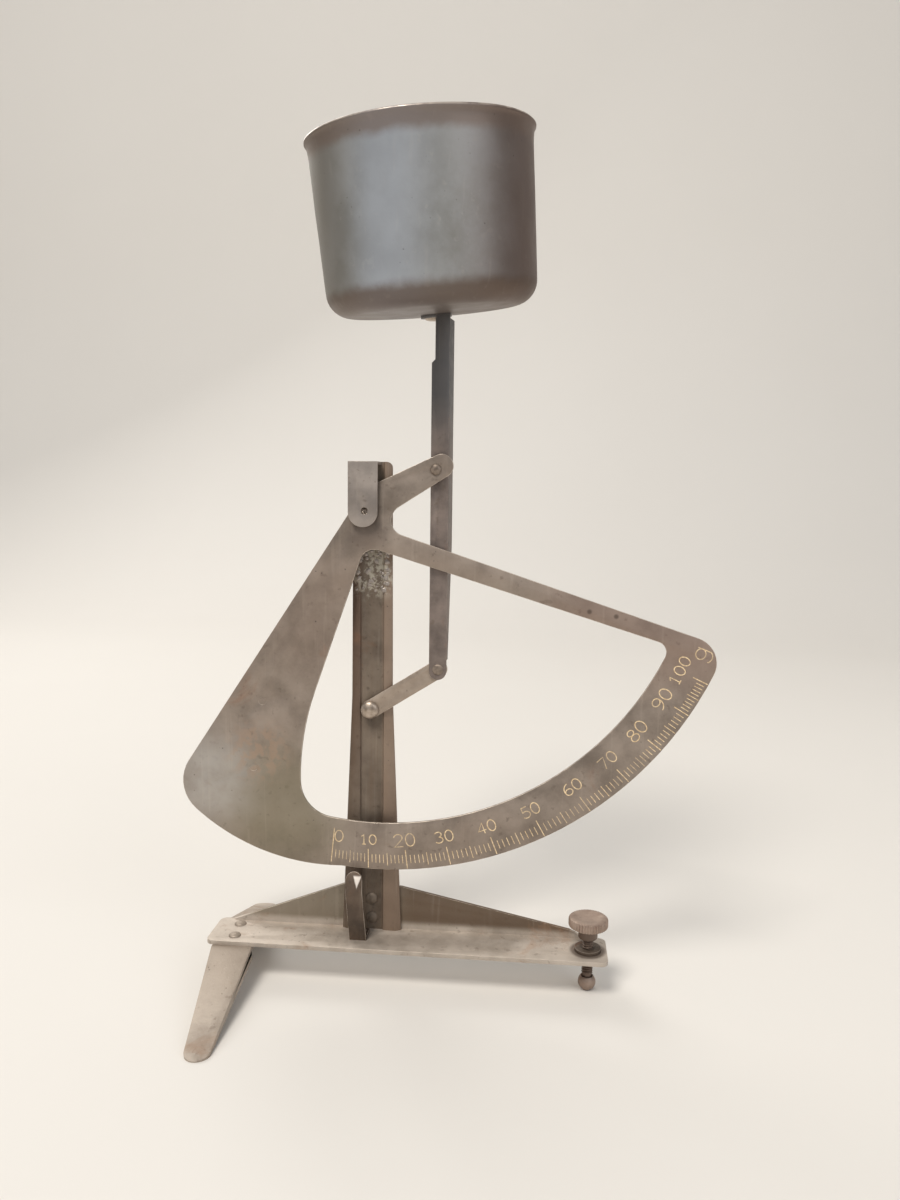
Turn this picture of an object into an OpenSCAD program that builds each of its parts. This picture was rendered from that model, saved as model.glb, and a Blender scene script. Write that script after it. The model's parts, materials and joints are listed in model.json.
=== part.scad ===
// Pendulum balance with a parallel linkage. A sheet quadrant with a scale swings on a knife edge at
// the top of a riveted column, and its arm carries a rod with a cup. Lengths are millimetres.
// Shapes are drawn about the knife edge: X to the right along the bar, Y away from the reader,
// Z up. Angles of the quadrant count from straight down, towards +X. The origin of the finished
// model is on the table, under the middle of the whole outline.

/* [Stand] */
// Height of the knife edge above the table
pivot_h = 128.3; // [126:0.1:140]
// Height of the bar's top face above the table
bar_h = 10.9; // [10:0.1:16]
// Thickness of the bar
bar_t = 1.2; // [0.8:0.1:2]
// Bar's reach to the left of the knife edge
bar_left = 43; // [42:1:50]
// Bar's reach to the right of the knife edge
bar_right = 67; // [67:1:80]
// Bar's reach in front of the quadrant
bar_front = 8.2; // [7:0.1:12]
// Radius of the bar's corners
bar_corner = 2; // [0.5:0.1:4]
// Thickness of the upright web along the bar's back edge
web_t = 1; // [0.8:0.1:1.6]
// Height of the web beside the column
web_h = 12.4; // [11:0.1:15]
// Left end of the web
web_left = 39.5; // [36:0.5:41]
// Right end of the web
web_right = 62; // [50:1:65]
// Height of the web 5 mm short of its right end
web_toe_h = 2.4; // [1:0.1:3]

/* [Cross legs] */
// Middle of the cross legs, to the left of the knife edge
cross_x = 36.1; // [34:0.1:37]
// Turn of the cross legs out of square
cross_skew = 5; // [0:0.5:8]
// Length of the flat middle of the cross legs
cross_flat = 15.5; // [14.5:0.5:20]
// Distance of the front toe's middle from the legs' middle
toe_front = 42; // [30:0.5:50]
// Distance of the back toe's middle from the legs' middle
toe_back = 37; // [30:0.5:50]
// Width of a leg at its bend
leg_w = 11; // [9:0.1:13]
// Width of a toe
toe_w = 6.4; // [5:0.1:8]
// Thickness of the legs' sheet
leg_t = 1.2; // [0.8:0.1:1.6]
// Depth of a leg's turned-down edges at the bend
leg_edge = 3; // [1.5:0.1:3.6]

/* [Column] */
// Middle of the column, to the right of the knife edge
column_x = 1.3; // [1:0.1:1.8]
// Whole width of the column at the top
column_top_w = 10.6; // [10.4:0.1:13]
// Whole width of the column where it starts to flare
column_mid_w = 11.2; // [10.8:0.1:14]
// Depth below the knife edge where the column starts to flare
column_mid_h = 50; // [40:1:70]
// Whole width of the column at the foot
column_foot_w = 16.6; // [14:0.1:20]
// Height of the column's lower rivet above the bar
column_rivet_low = 3.4; // [3:0.1:4]
// Height of the column's upper rivet above the bar
column_rivet_high = 9; // [8:0.1:9.6]
// Thickness of the column's sheet
column_t = 0.9; // [0.7:0.1:1.2]
// Top of the column's shoulder above the knife edge
column_top = 13.9; // [13:0.1:18]
// Width of the pressed groove's floor
groove_w = 5.9; // [5.4:0.1:6.4]
// Depth of the pressed groove
groove_deep = 0.7; // [0.6:0.05:1]
// Width of each bevelled edge of the column
bevel_w = 1.4; // [0.8:0.1:1.8]

/* [Stirrup] */
// Width of the stirrup that folds over the column
strap_w = 7.9; // [7:0.1:9]
// Middle of the stirrup, to the left of the knife edge
strap_x = 0.45; // [0:0.05:0.5]
// Thickness of the stirrup's sheet
strap_t = 0.8; // [0.6:0.1:1]
// Gap between the stirrup's front ear and the quadrant
strap_gap = 0.9; // [0.5:0.1:1.5]
// Front ear's reach below the knife edge
ear_drop = 3.4; // [3:0.1:5]
// Radius of a bearing hole for the knife edge
bearing_r = 0.95; // [0.9:0.05:1.2]
// Height of the stirrup's rivet above the knife edge
stirrup_rivet_h = 8; // [7.5:0.1:9]

/* [Quadrant] */
// Thickness of the quadrant's sheet
plate_t = 0.8; // [0.6:0.1:1.2]
// Middle of the scale band, to the right of the knife edge
band_x = 3.66; // [0:0.01:4]
// Middle of the scale band, below the knife edge
band_drop = 0.78; // [0:0.01:2]
// Outer radius of the scale band
outer_r = 97.3; // [96:0.1:102]
// Inner radius of the scale band
inner_r = 84; // [80:0.1:86]
// Slope of the spoke's upper edge below level
spoke_top_a = 18.1; // [17.6:0.1:18.6]
// Distance of the spoke's upper edge below the knife edge
spoke_top_h = 2.15; // [1.8:0.05:2.4]
// Slope of the spoke's lower edge below level
spoke_low_a = 17; // [16.5:0.1:17.5]
// Distance of the spoke's lower edge below the knife edge
spoke_low_h = 8.06; // [7.6:0.02:8.6]
// Radius of the band's outer corner
tip_r = 7; // [4:0.1:8]
// Lean of the lobe's left edge from upright
lobe_edge_a = 33.2; // [32:0.1:34]
// Distance of the lobe's left edge from the knife edge
lobe_edge_h = 3.85; // [3.6:0.01:4.6]
// Radius of the lobe's outer curve
lobe_r = 58.8; // [56:0.1:64]
// Swell of the lobe's outer curve beyond the circle of the scale band
lobe_swell = 1.6; // [1:0.1:2.4]
// Direction of that swell from the band's middle, to the left of straight down
lobe_dir = 18.6; // [17.5:0.1:20]
// Radius of the lobe's lower corner
lobe_corner = 10.6; // [8:0.1:14]
// Radius of the hub's upper corner
hub_corner = 3; // [2:0.1:4]
// Lean of the window's left side from upright
window_a = 19.1; // [18.5:0.1:19.5]
// Distance of the window's left side from the knife edge
window_h = 2.69; // [2.4:0.01:3]
// Depth below the knife edge where the window's left side starts to curve
window_bend = 48.5; // [46:0.5:50]
// Radius of the window's left curve
window_r = 75; // [73:0.5:77]
// Radius of the window's lower corner
window_corner = 10; // [8:0.5:11]
// Radius of the window's upper corner
window_top_r = 4; // [2:0.1:5]
// Radius of the window's right corner
window_tip_r = 3; // [2:0.1:4]
// Radius of the notch between spoke and arm
notch_r = 4.1; // [3.6:0.05:4.4]

/* [Linkage] */
// Distance between the two pivots of an arm
arm_l = 22.2; // [21:0.1:23]
// Slope of the arm and the link above level, unloaded
arm_a = 32.5; // [31.5:0.1:33]
// Distance of the arm's lower edge from the line through its pivots
arm_low = 3.1; // [2.8:0.05:3.4]
// Slope of the arm's upper edge above level
arm_top_a = 25; // [24:0.1:26]
// Arm's length past its pivot, to the middle of its round end
arm_past = 1.8; // [1:0.1:2.4]
// Link stud's place to the right of the knife edge
stud_x = 0.9; // [0.6:0.1:1.4]
// Link stud's depth below the knife edge
stud_h = 53.6; // [50:0.1:56]
// Width of the link
link_w = 5; // [4.4:0.1:5.4]
// Thickness of the link
link_t = 0.7; // [0.6:0.05:0.9]
// Width of the rod's front face
rod_w = 4.7; // [4.6:0.1:5.6]
// Rod's right edge beyond its upper pivot
rod_edge = 3.2; // [3.1:0.05:3.4]
// Thickness of the rod's sheet
rod_t = 0.8; // [0.6:0.05:1]
// Height above the knife edge where the rod narrows
rod_step_h = 39.5; // [30:0.5:44]
// Step by which the rod narrows
rod_step = 0.9; // [0.3:0.1:1]
// Depth of the rod's turned-back edge
rod_flange = 4.5; // [3:0.1:5.5]
// Depth of that edge at its lower end
rod_flange_end = 1.4; // [1:0.1:2]
// Splay of the rod's turned-back edge
rod_splay = 9; // [5:1:20]
// Height above the knife edge from which the turned-back edge tapers
rod_taper_h = -8; // [-14:1:0]

/* [Cup] */
// Cup's middle to the right of the knife edge
cup_x = 17.3; // [17:0.1:18.6]
// Cup's middle behind the quadrant's front face
cup_y = 4.9; // [4.7:0.1:5.4]
// Underside of the cup above the knife edge
cup_z = 52.2; // [50:0.1:60]
// Lean of the cup to the left
cup_lean = 4.6; // [0:0.1:6]
// Lean of the cup towards the reader
cup_tip = 7.1; // [0:0.1:8]
// Radius of the cup at its bottom
cup_foot_r = 27.6; // [25:0.1:29]
// Radius of the cup below its lip
cup_mouth_r = 28.5; // [27:0.1:30]
// Radius of the lip
cup_lip_r = 29.1; // [28:0.1:31]
// Height of the cup
cup_h = 42.9; // [38:0.1:46]
// Radius of the cup's bottom corner
cup_corner = 6; // [3:0.1:7]
// Depth of the bottom's dome
cup_dome = 0.8; // [0.4:0.1:1.2]
// Height of the flared lip
cup_flare = 5; // [3:0.5:7]
// Thickness of the cup's sheet
cup_t = 0.5; // [0.4:0.05:0.8]
// Radius of the rolled bead at the lip
bead_r = 0.55; // [0.4:0.05:0.8]

/* [Counterweight] */
// Thickness of the weight behind the lobe
weight_t = 5.92; // [4:0.01:7]
// Inner reach of the weight from the knife edge
weight_in = 50; // [46:1:60]
// Outer reach of the weight from the knife edge
weight_out = 86; // [80:1:87]
// Direction of the weight's left side
weight_left_a = 31; // [29:0.1:31.3]
// Direction of the weight's lower right corner
weight_right_a = 17; // [17:0.5:20]
// Direction of the weight's upper right corner
weight_top_a = 27; // [26:0.5:28]
// Distance of the weight's rivets from its inner and outer reach
weight_rivet_in = 9; // [7:0.5:10]
// Radius of the weight's corners
weight_corner = 3; // [2:0.5:4]

/* [Index] */
// Width of the index
index_w = 4.7; // [4:0.1:5.5]
// Middle of the index, to the left of the knife edge
index_x = 1.3; // [1:0.1:2]
// Distance of the index in front of the quadrant
index_y = 3.5; // [3:0.1:4.5]
// Thickness of the index's sheet
index_t = 0.8; // [0.6:0.1:1]
// Gap between the quadrant's lower edge and the index's end
index_gap = 0.52; // [0.4:0.02:1]
// Length of the index's leaning end
index_lean = 5; // [4:0.1:6]
// How far the index's end stands to the left of its foot
index_skew = 1.4; // [0:0.1:2]
// Length of the index's foot
index_foot = 6; // [5:0.1:7]

/* [Levelling screw] */
// Screw's axis to the right of the knife edge
screw_x = 61.8; // [59:0.1:62]
// Screw's axis in front of the quadrant
screw_y = 1.6; // [1:0.1:2.6]
// Diameter of the knurled head
head_d = 10.7; // [9:0.1:12]
// Thickness of the knurled head
head_t = 2.5; // [2:0.1:5]
// Top of the knurled head above the bar
head_top = 9.4; // [9:0.1:14]
// Number of knurls round the head
knurls = 40; // [24:2:60]
// Depth of a knurl
knurl_deep = 0.3; // [0.2:0.05:0.4]
// Diameter of the screw
screw_d = 3; // [2.6:0.1:3.2]
// Diameter of the collar under the head
neck_d = 5.2; // [4.4:0.1:6]
// Length of the collar under the head
neck_l = 3.3; // [2:0.1:3.6]
// Diameter of the threaded bush
bush_d = 7.2; // [6.4:0.1:9]
// Height of the bush above and below the bar
bush_lip = 1; // [0.6:0.1:1.4]
// Diameter of the foot
foot_d = 4.8; // [4.7:0.1:6]
// Height of the foot
foot_h = 3.8; // [3.6:0.1:3.9]
// Diameter of the flat that the foot stands on
foot_flat = 2.2; // [2:0.1:2.6]

/* [Rivets] */
// Diameter of a pivot rivet
pivot_d = 1.8; // [1.6:0.1:2.2]
// Diameter of a pivot rivet's head
pivot_head_d = 3; // [2.8:0.1:3.4]
// Height of the head in the gap between quadrant and rod
pivot_head_h = 0.45; // [0.35:0.05:0.5]
// Diameter of the link stud
stud_d = 2.4; // [2:0.1:3]
// Diameter of the link stud's domed head
stud_head_d = 5; // [4.4:0.1:5.4]
// Height of the link stud's domed head
stud_head_h = 1.3; // [1:0.05:1.4]
// Diameter of a rivet in the stand
rivet_d = 2; // [1.6:0.1:2.4]
// Diameter of a rivet's head in the stand
rivet_head_d = 3.4; // [3:0.1:3.8]
// Height of a rivet's head
rivet_head_h = 0.8; // [0.5:0.1:1]
// Diameter of a washer
washer_d = 4; // [3.6:0.1:4.2]
// Thickness of a washer
washer_t = 0.4; // [0.3:0.05:0.45]
// Diameter of the knife edge's round middle
knife_d = 3.2; // [3:0.1:3.6]
// Height of the knife edge's ends
knife_h = 0.9; // [0.8:0.05:1]
// Width of the knife edge's ends at the back
knife_w = 0.6; // [0.5:0.05:0.8]

/* [Fits] */
// Radial clearance of a rivet in the sheet that turns on it
running = 0.05; // [0.02:0.01:0.1]
// Gap between sheets that pass each other
play = 0.2; // [0.15:0.05:0.3]
// Space between the quadrant and the rod, for the flat rivet head
head_space = 0.6; // [0.55:0.05:0.8]

/* [Hidden] */
$fn = 64;

// Small overlap that keeps a cut clean
bite = 0.5;
// Steps of wide and of narrow arcs, and the radius that parts them
wide_step = 2.5;
narrow_step = 10;
wide_arc = 20;

// Sheets from front to back, as distances behind the quadrant's front face
rod_y = plate_t + head_space;
link_y = rod_y + rod_t + play;
column_y = link_y + link_t + play;
groove_y = column_y + groove_deep;
web_y = groove_y + column_t;
bar_back = web_y + web_t;
ear_y = -strap_gap - strap_t;

// Heights about the knife edge
table_z = -pivot_h;
bar_top = table_z + bar_h;
bar_under = bar_top - bar_t;
arm_pin = arm_l * [cos(arm_a), sin(arm_a)];
stud_pin = [stud_x, -stud_h];
link_pin = stud_pin + arm_pin;
rod_right = arm_pin.x + rod_edge;
rod_left = rod_right - rod_w;

// Unit vector at an angle from straight down, towards +X
function ray(a) = [sin(a), -cos(a)];

// Angle of a point from straight down, from -180 to 180
function bearing(p) = atan2(p.x, -p.y);

// Points on an arc about c from one angle to another
function arc(c, r, from, to) =
    let (n = ceil(abs(to - from) / (r > wide_arc ? wide_step : narrow_step)))
    [for (i = [0:n]) c + r * ray(from + (to - from) * i / n)];

// Where two lines cross, each given by a unit normal and its distance from the knife edge
function crossing(n1, h1, n2, h2) =
    let (k = n1.x * n2.y - n1.y * n2.x)
    [(h1 * n2.y - h2 * n1.y) / k, (n1.x * h2 - n2.x * h1) / k];

// Point of a line that lies at a distance from c, on the side that s picks
function on_line(n, h, c, dist, s) =
    let (k = h - n * c)
    c + k * n + s * sqrt(dist * dist - k * k) * [-n.y, n.x];

// Where two circles cross, on the side that s picks
function circles(c1, r1, c2, r2, s) =
    let (d = norm(c2 - c1), u = (c2 - c1) / d, k = (d * d + r1 * r1 - r2 * r2) / (2 * d))
    c1 + k * u + s * sqrt(r1 * r1 - k * k) * [-u.y, u.x];

// Outward normals of the quadrant's straight edges
hub = [0, 0];
spoke_up = ray(180 - spoke_top_a);
spoke_down = ray(180 - spoke_low_a);
arm_under = ray(arm_a);
arm_over = ray(180 + arm_top_a);
lobe_side = ray(270 - lobe_edge_a);
window_side = ray(270 - window_a);

// Centres of the quadrant's arcs
band_c = [band_x, -band_drop];
lobe_c = band_c + (outer_r - lobe_r + lobe_swell) * ray(-lobe_dir);
tip_c = on_line(spoke_up, -spoke_top_h - tip_r, band_c, outer_r - tip_r, -1);
notch_c = crossing(spoke_up, notch_r - spoke_top_h, arm_under, notch_r + arm_low);
arm_end_c = arm_pin + arm_past * [cos(arm_a), sin(arm_a)];
arm_over_h = arm_over * arm_end_c + arm_low;
hub_corner_c = crossing(arm_over, arm_over_h - hub_corner, lobe_side, lobe_edge_h - hub_corner);
lobe_corner_c = on_line(lobe_side, lobe_edge_h - lobe_corner, lobe_c, lobe_r - lobe_corner, 1);
lobe_corner_a = bearing(lobe_corner_c - lobe_c);
lobe_meet = circles(band_c, outer_r, lobe_c, lobe_r, 1);
window_bend_p = crossing(window_side, -window_h, [0, 1], -window_bend);
window_c = window_bend_p - window_r * window_side;
window_corner_c = circles(band_c, inner_r - window_corner, window_c, window_r - window_corner, -1);
window_corner_a = bearing(window_corner_c - window_c);
window_tip_c = on_line(spoke_down, -spoke_low_h - window_tip_r,
                       band_c, inner_r - window_tip_r, -1);
window_tip_a = bearing(window_tip_c - band_c);
window_end_a = bearing(window_corner_c - band_c);
tip_a = bearing(tip_c - band_c);
window_top_c = crossing(spoke_down, -spoke_low_h - window_top_r,
                        window_side, -window_h - window_top_r);

// Middle of the whole outline, which is the model's origin
mid_x = (tip_c.x + tip_r + lobe_corner_c.x - lobe_corner) / 2;
bar_mid_y = (bar_back - bar_front) / 2;
mid_y = bar_mid_y - (toe_front - toe_back) / 2 * cos(cross_skew);

// The quadrant's outline, anticlockwise from the foot of the lobe
plate_outline = concat(
    arc(band_c, outer_r, bearing(lobe_meet - band_c), tip_a),
    arc(tip_c, tip_r, tip_a, 180 - spoke_top_a),
    arc(notch_c, notch_r, -spoke_top_a, arm_a - 180),
    arc(arm_end_c, arm_low, arm_a, 180 + arm_top_a),
    arc(hub_corner_c, hub_corner, 180 + arm_top_a, 270 - lobe_edge_a),
    arc(lobe_corner_c, lobe_corner, 270 - lobe_edge_a, 360 + lobe_corner_a),
    arc(lobe_c, lobe_r, lobe_corner_a, bearing(lobe_meet - lobe_c))
);

// The window's outline, anticlockwise from its lower corner
window_outline = concat(
    arc(band_c, inner_r, window_end_a, window_tip_a),
    arc(window_tip_c, window_tip_r, window_tip_a, 180 - spoke_low_a),
    arc(window_top_c, window_top_r, 180 - spoke_low_a, 270 - window_a),
    arc(window_c, window_r, 270 - window_a, 360 + window_corner_a),
    arc(window_corner_c, window_corner, 360 + window_corner_a, 360 + window_end_a)
);

// An outline without the points that two arcs share
function joined(points) =
    let (n = len(points))
    [for (i = [0:n - 1]) if (norm(points[i] - points[(i + n - 1) % n]) > 0.01) points[i]];

// Rectangle with round corners
function round_box(x0, y0, x1, y1, r) = concat(
    arc([x1 - r, y0 + r], r, 0, 90),
    arc([x1 - r, y1 - r], r, 90, 180),
    arc([x0 + r, y1 - r], r, 180, 270),
    arc([x0 + r, y0 + r], r, 270, 360)
);

// Moves what is drawn about the knife edge to its place over the origin
module place() {
    translate([-mid_x, -mid_y, pivot_h]) children();
}

// Upright sheet from y to y + t behind the quadrant's front face
module sheet(y, t) {
    translate([0, y + t, 0]) rotate([90, 0, 0]) linear_extrude(t) children();
}

// Outline in Y and Z, drawn out along X
module side_sheet(x, w) {
    translate([x - w / 2, 0, 0]) rotate([90, 0, 90]) linear_extrude(w) children();
}

// Round bar or bore along Y at a point of the quadrant's plane
module pin(p, d, from, to) {
    translate([p.x, from, p.y]) rotate([-90, 0, 0]) cylinder(d = d, h = to - from);
}

// Domed end that stands on z = 0
module cap(d, h) {
    r = (d * d / 4 + h * h) / (2 * h);
    intersection() {
        translate([0, 0, h - r]) sphere(r);
        cylinder(d = d + bite, h = h + bite);
    }
}

// Rivet along Z with a domed head below 0 and a domed tail above the grip
module rivet(d, grip, head_d, head_h, tail_h) {
    translate([0, 0, -head_h / 2]) cylinder(d = d, h = grip + (head_h + tail_h) / 2);
    mirror([0, 0, 1]) cap(head_d, head_h);
    translate([0, 0, grip]) cap(head_d, tail_h);
}

// Rivet along Y from one sheet's front face to another's back face
module cross_rivet(p, d, from, to, head_d, head_h, tail_h) {
    translate([p.x, from, p.y]) rotate([-90, 0, 0]) rivet(d, to - from, head_d, head_h, tail_h);
}

// Ring along Y
module washer(p, y, t, d, bore) {
    difference() {
        pin(p, d, y, y + t);
        pin(p, bore, y - bite, y + t + bite);
    }
}

// Solid that joins sections of a bent sheet, each a ring of points, anticlockwise from above, that
// runs along the sheet's front and comes back along its back
module loft(rings) {
    n = len(rings[0]);
    last = (len(rings) - 1) * n;
    sides = [for (k = [0:n:last - n], i = [0:n - 1])
        [k + i, k + n + i, k + n + (i + 1) % n, k + (i + 1) % n]];
    below = [for (i = [0:n / 2 - 2]) [i, i + 1, n - 2 - i, n - 1 - i]];
    above = [for (i = [0:n / 2 - 2])
        [last + n - 1 - i, last + n - 2 - i, last + i + 1, last + i]];
    polyhedron([for (ring = rings, p = ring) p], concat(sides, below, above));
}

// Stand

// Rivets that hold the bar on the cross legs
cross_rivet_pitch = 7;
// Length of the web's blunt right end
web_toe = 5;

module cross_rivet_places() {
    for (s = [-1, 1])
        translate([-cross_x, bar_mid_y, 0]) rotate(cross_skew)
            translate([0, s * cross_rivet_pitch / 2, 0]) children();
}

// The index rivet's place on the bar
index_rivet_p = [-index_x, index_foot - index_y - rivet_head_d / 2, bar_under];

// The bush stands on both faces of the bar and its waist fills the bar's hole
waist_d = (screw_d + bush_d) / 2;

// Bar along the table with an upright web on its back edge
module base_bar() {
    foot_half = column_foot_w / 2;
    color("dimgray") place() difference() {
        union() {
            translate([0, 0, bar_under]) linear_extrude(bar_t)
                polygon(joined(round_box(-bar_left, -bar_front, bar_right, bar_back, bar_corner)));
            sheet(web_y, web_t) polygon([
                [-web_left, bar_under],
                [web_right, bar_under],
                [web_right, bar_top],
                [web_right - web_toe, bar_top + web_toe_h],
                [column_x + foot_half, bar_top + web_h],
                [column_x - foot_half, bar_top + web_h],
                [-web_left, bar_top]
            ]);
        }
        cross_rivet_places() translate([0, 0, bar_under - bite])
            cylinder(d = rivet_d, h = bar_t + 2 * bite);
        translate(index_rivet_p - [0, 0, bite]) cylinder(d = rivet_d, h = bar_t + 2 * bite);
        translate([screw_x, -screw_y, bar_under - bite])
            cylinder(d = waist_d, h = bar_t + 2 * bite);
        for (p = column_rivet_places) pin(p, rivet_d, web_y - bite, bar_back + bite);
    }
}

// The sloping part of a leg touches the table under the middle of its toe
leg_drop = bar_under - table_z;

// Sloping leg towards the reader, with its edges turned down, for a toe at this reach
module leg(reach) {
    leg_run = reach - cross_flat / 2;
    leg_slope = atan2(leg_drop, leg_run) - asin(leg_t / norm([leg_run, leg_drop]));
    leg_len = sqrt(leg_run * leg_run + leg_drop * leg_drop - leg_t * leg_t);
    translate([0, -cross_flat / 2, 0]) rotate([leg_slope, 0, 0]) {
        translate([0, 0, -leg_t]) linear_extrude(leg_t)
            polygon(concat([[-leg_w / 2, 0], [leg_w / 2, 0]],
                           arc([0, -leg_len], toe_w / 2, 90, -90)));
        for (s = [0, 1]) mirror([s, 0, 0]) intersection() {
            translate([0, 0, -leg_t - leg_edge]) linear_extrude(leg_t + leg_edge)
                polygon([[leg_w / 2, 0], [leg_w / 2 - leg_t, 0],
                         [toe_w / 2 - leg_t, -leg_len], [toe_w / 2, -leg_len]]);
            side_sheet(0, leg_w + 2 * bite)
                polygon([[0, 0], [0, -leg_t - leg_edge], [-leg_len, -leg_t], [-leg_len, 0]]);
        }
    }
}

// Strip under the left end of the bar, bent down into a front and a back leg
module cross_legs() {
    toes = toe_front + toe_back;
    color("gray") place() difference() {
        translate([-cross_x, bar_mid_y, bar_under]) rotate(cross_skew) {
            translate([-leg_w / 2, -cross_flat / 2, -leg_t]) cube([leg_w, cross_flat, leg_t]);
            leg(toe_front);
            mirror([0, 1, 0]) leg(toe_back);
        }
        translate([-cross_x, bar_mid_y, table_z]) translate([-toes / 2, -toes, -leg_drop])
            cube([toes, 2 * toes, leg_drop]);
        cross_rivet_places() translate([0, 0, bar_under - leg_t - bite])
            cylinder(d = rivet_d, h = leg_t + 2 * bite);
    }
}

module base_rivets() {
    color("darkgray") place() cross_rivet_places() translate([0, 0, bar_under - leg_t])
        rivet(rivet_d, leg_t + bar_t, rivet_head_d, rivet_head_h, rivet_head_h);
}

// Threaded bush, swaged into the bar
module levelling_bush() {
    color("gray") place() translate([screw_x, -screw_y, bar_under - bush_lip]) difference() {
        union() {
            cylinder(d = bush_d, h = bush_lip);
            cylinder(d = waist_d, h = bar_t + 2 * bush_lip);
            translate([0, 0, bush_lip + bar_t]) cylinder(d = bush_d, h = bush_lip);
        }
        translate([0, 0, -bite])
            cylinder(d = screw_d + 2 * running, h = bar_t + 2 * (bush_lip + bite));
    }
}

// Depth of the socket in the foot, and chamfer of the knurled head
socket_deep = 2;
head_chamfer = 0.5;

// Screw with a knurled head, a collar and a plain end that turns in the foot
module levelling_screw() {
    head_z = bar_top + head_top - head_t;
    tip_z = table_z + foot_h - socket_deep + running;
    r = head_d / 2;
    color("silver") place() translate([screw_x, -screw_y, 0]) {
        translate([0, 0, head_z]) intersection() {
            linear_extrude(head_t)
                polygon([for (i = [0:2 * knurls - 1]) (r - knurl_deep * (i % 2)) * ray(180 * i / knurls)]);
            rotate_extrude() polygon([
                [0, 0], [r - head_chamfer, 0], [r, head_chamfer], [r, head_t - head_chamfer],
                [r - head_chamfer, head_t], [0, head_t]
            ]);
        }
        translate([0, 0, head_z - neck_l]) cylinder(d = neck_d, h = neck_l + bite);
        translate([0, 0, tip_z]) cylinder(d = screw_d, h = head_z - tip_z);
    }
}

// Ball foot that the screw turns in
module levelling_foot() {
    r = foot_d / 2;
    ball_h = sqrt(r * r - foot_flat * foot_flat / 4);
    color("silver") place() translate([screw_x, -screw_y, table_z]) difference() {
        intersection() {
            translate([0, 0, ball_h]) sphere(r);
            cylinder(d = foot_d + bite, h = foot_h);
        }
        translate([0, 0, foot_h - socket_deep])
            cylinder(d = screw_d + 2 * running, h = socket_deep + bite);
    }
}

// Slope of the groove's walls, and radius of the column's shoulder
groove_wall = 0.4;
shoulder_r = 1.5;
// Room between the stirrup and the column's shoulder
notch_room = 0.1;

// Heights of the rivets that hold the column on the web
column_rivet_places = [for (h = [column_rivet_low, column_rivet_high]) [column_x, bar_top + h]];
stirrup_rivet_p = [column_x, stirrup_rivet_h];
bearing_p = [0, bearing_r - running];

// The column's section, front side first, for a whole width w at height z
function column_ring(w, z) =
    let (half = w / 2,
         front = [[-half, groove_deep], [bevel_w - half, 0], [-groove_w / 2 - groove_wall, 0],
                  [-groove_w / 2, groove_deep], [groove_w / 2, groove_deep],
                  [groove_w / 2 + groove_wall, 0], [half - bevel_w, 0], [half, groove_deep]])
    concat([for (p = front) [column_x + p.x, column_y + p.y, z]],
           [for (i = [len(front) - 1:-1:0])
               [column_x + front[i].x, column_y + front[i].y + column_t, z]]);

// Pressed sheet column with a groove down its middle and bevelled edges
module column() {
    right = column_x + column_top_w / 2;
    color("darkslategray") place() difference() {
        loft([column_ring(column_foot_w, bar_top), column_ring(column_mid_w, -column_mid_h),
              column_ring(column_top_w, column_top)]);
        translate([column_x - column_foot_w, column_y - bite, column_top - strap_t])
            cube([column_foot_w - column_x + strap_w / 2 - strap_x + notch_room,
                  bar_back - column_y + bite, strap_t + bite]);
        sheet(column_y - bite, bar_back - column_y + 2 * bite) polygon(concat(
            [[right + bite, column_top - shoulder_r], [right + bite, column_top + bite],
             [right - shoulder_r, column_top + bite]],
            arc([right, column_top] - [shoulder_r, shoulder_r], shoulder_r, 180, 90)));
        pin(bearing_p, 2 * bearing_r, column_y - bite, bar_back);
        pin(stud_pin, stud_d, column_y - bite, bar_back);
        pin(stirrup_rivet_p, rivet_d, column_y - bite, bar_back);
        for (p = column_rivet_places) pin(p, rivet_d, column_y - bite, bar_back);
    }
}

module column_rivets() {
    color("gray") place() for (p = column_rivet_places)
        cross_rivet(p, rivet_d, groove_y, bar_back, rivet_head_d, rivet_head_h, rivet_head_h);
}

// Gap between the index's tip and the quadrant
tip_gap = 0.4;

// Depth of the index's end below the knife edge
index_tip = band_drop + outer_r + index_gap;

// Index strip: a foot on the bar, an upright and an end that leans towards the scale
module index_pointer() {
    bend_z = -index_tip - index_lean;
    color("gray") place() difference() {
        intersection() {
            side_sheet(-index_x, index_w + 2 * index_skew) polygon([
                [-index_y, bar_top],
                [index_foot - index_y, bar_top],
                [index_foot - index_y, bar_top + index_t],
                [index_t - index_y, bar_top + index_t],
                [index_t - index_y, bend_z],
                [-tip_gap, -index_tip],
                [-tip_gap - index_t, -index_tip],
                [-index_y, bend_z]
            ]);
            sheet(-index_y - bite, index_foot + 2 * bite) polygon(concat(
                [[-index_x - index_w / 2, bar_top], [index_w / 2 - index_x, bar_top]],
                arc([-index_x - index_skew, -index_tip - index_w / 2], index_w / 2, 90, 270)));
        }
        translate(index_rivet_p) cylinder(d = rivet_d, h = bar_t + index_t + bite);
    }
}

module index_rivet() {
    color("silver") place() translate(index_rivet_p)
        rivet(rivet_d, bar_t + index_t, rivet_head_d, rivet_head_h, rivet_head_h);
}

// Lower end of the stirrup's back ear
back_ear_z = 4.5;

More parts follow.
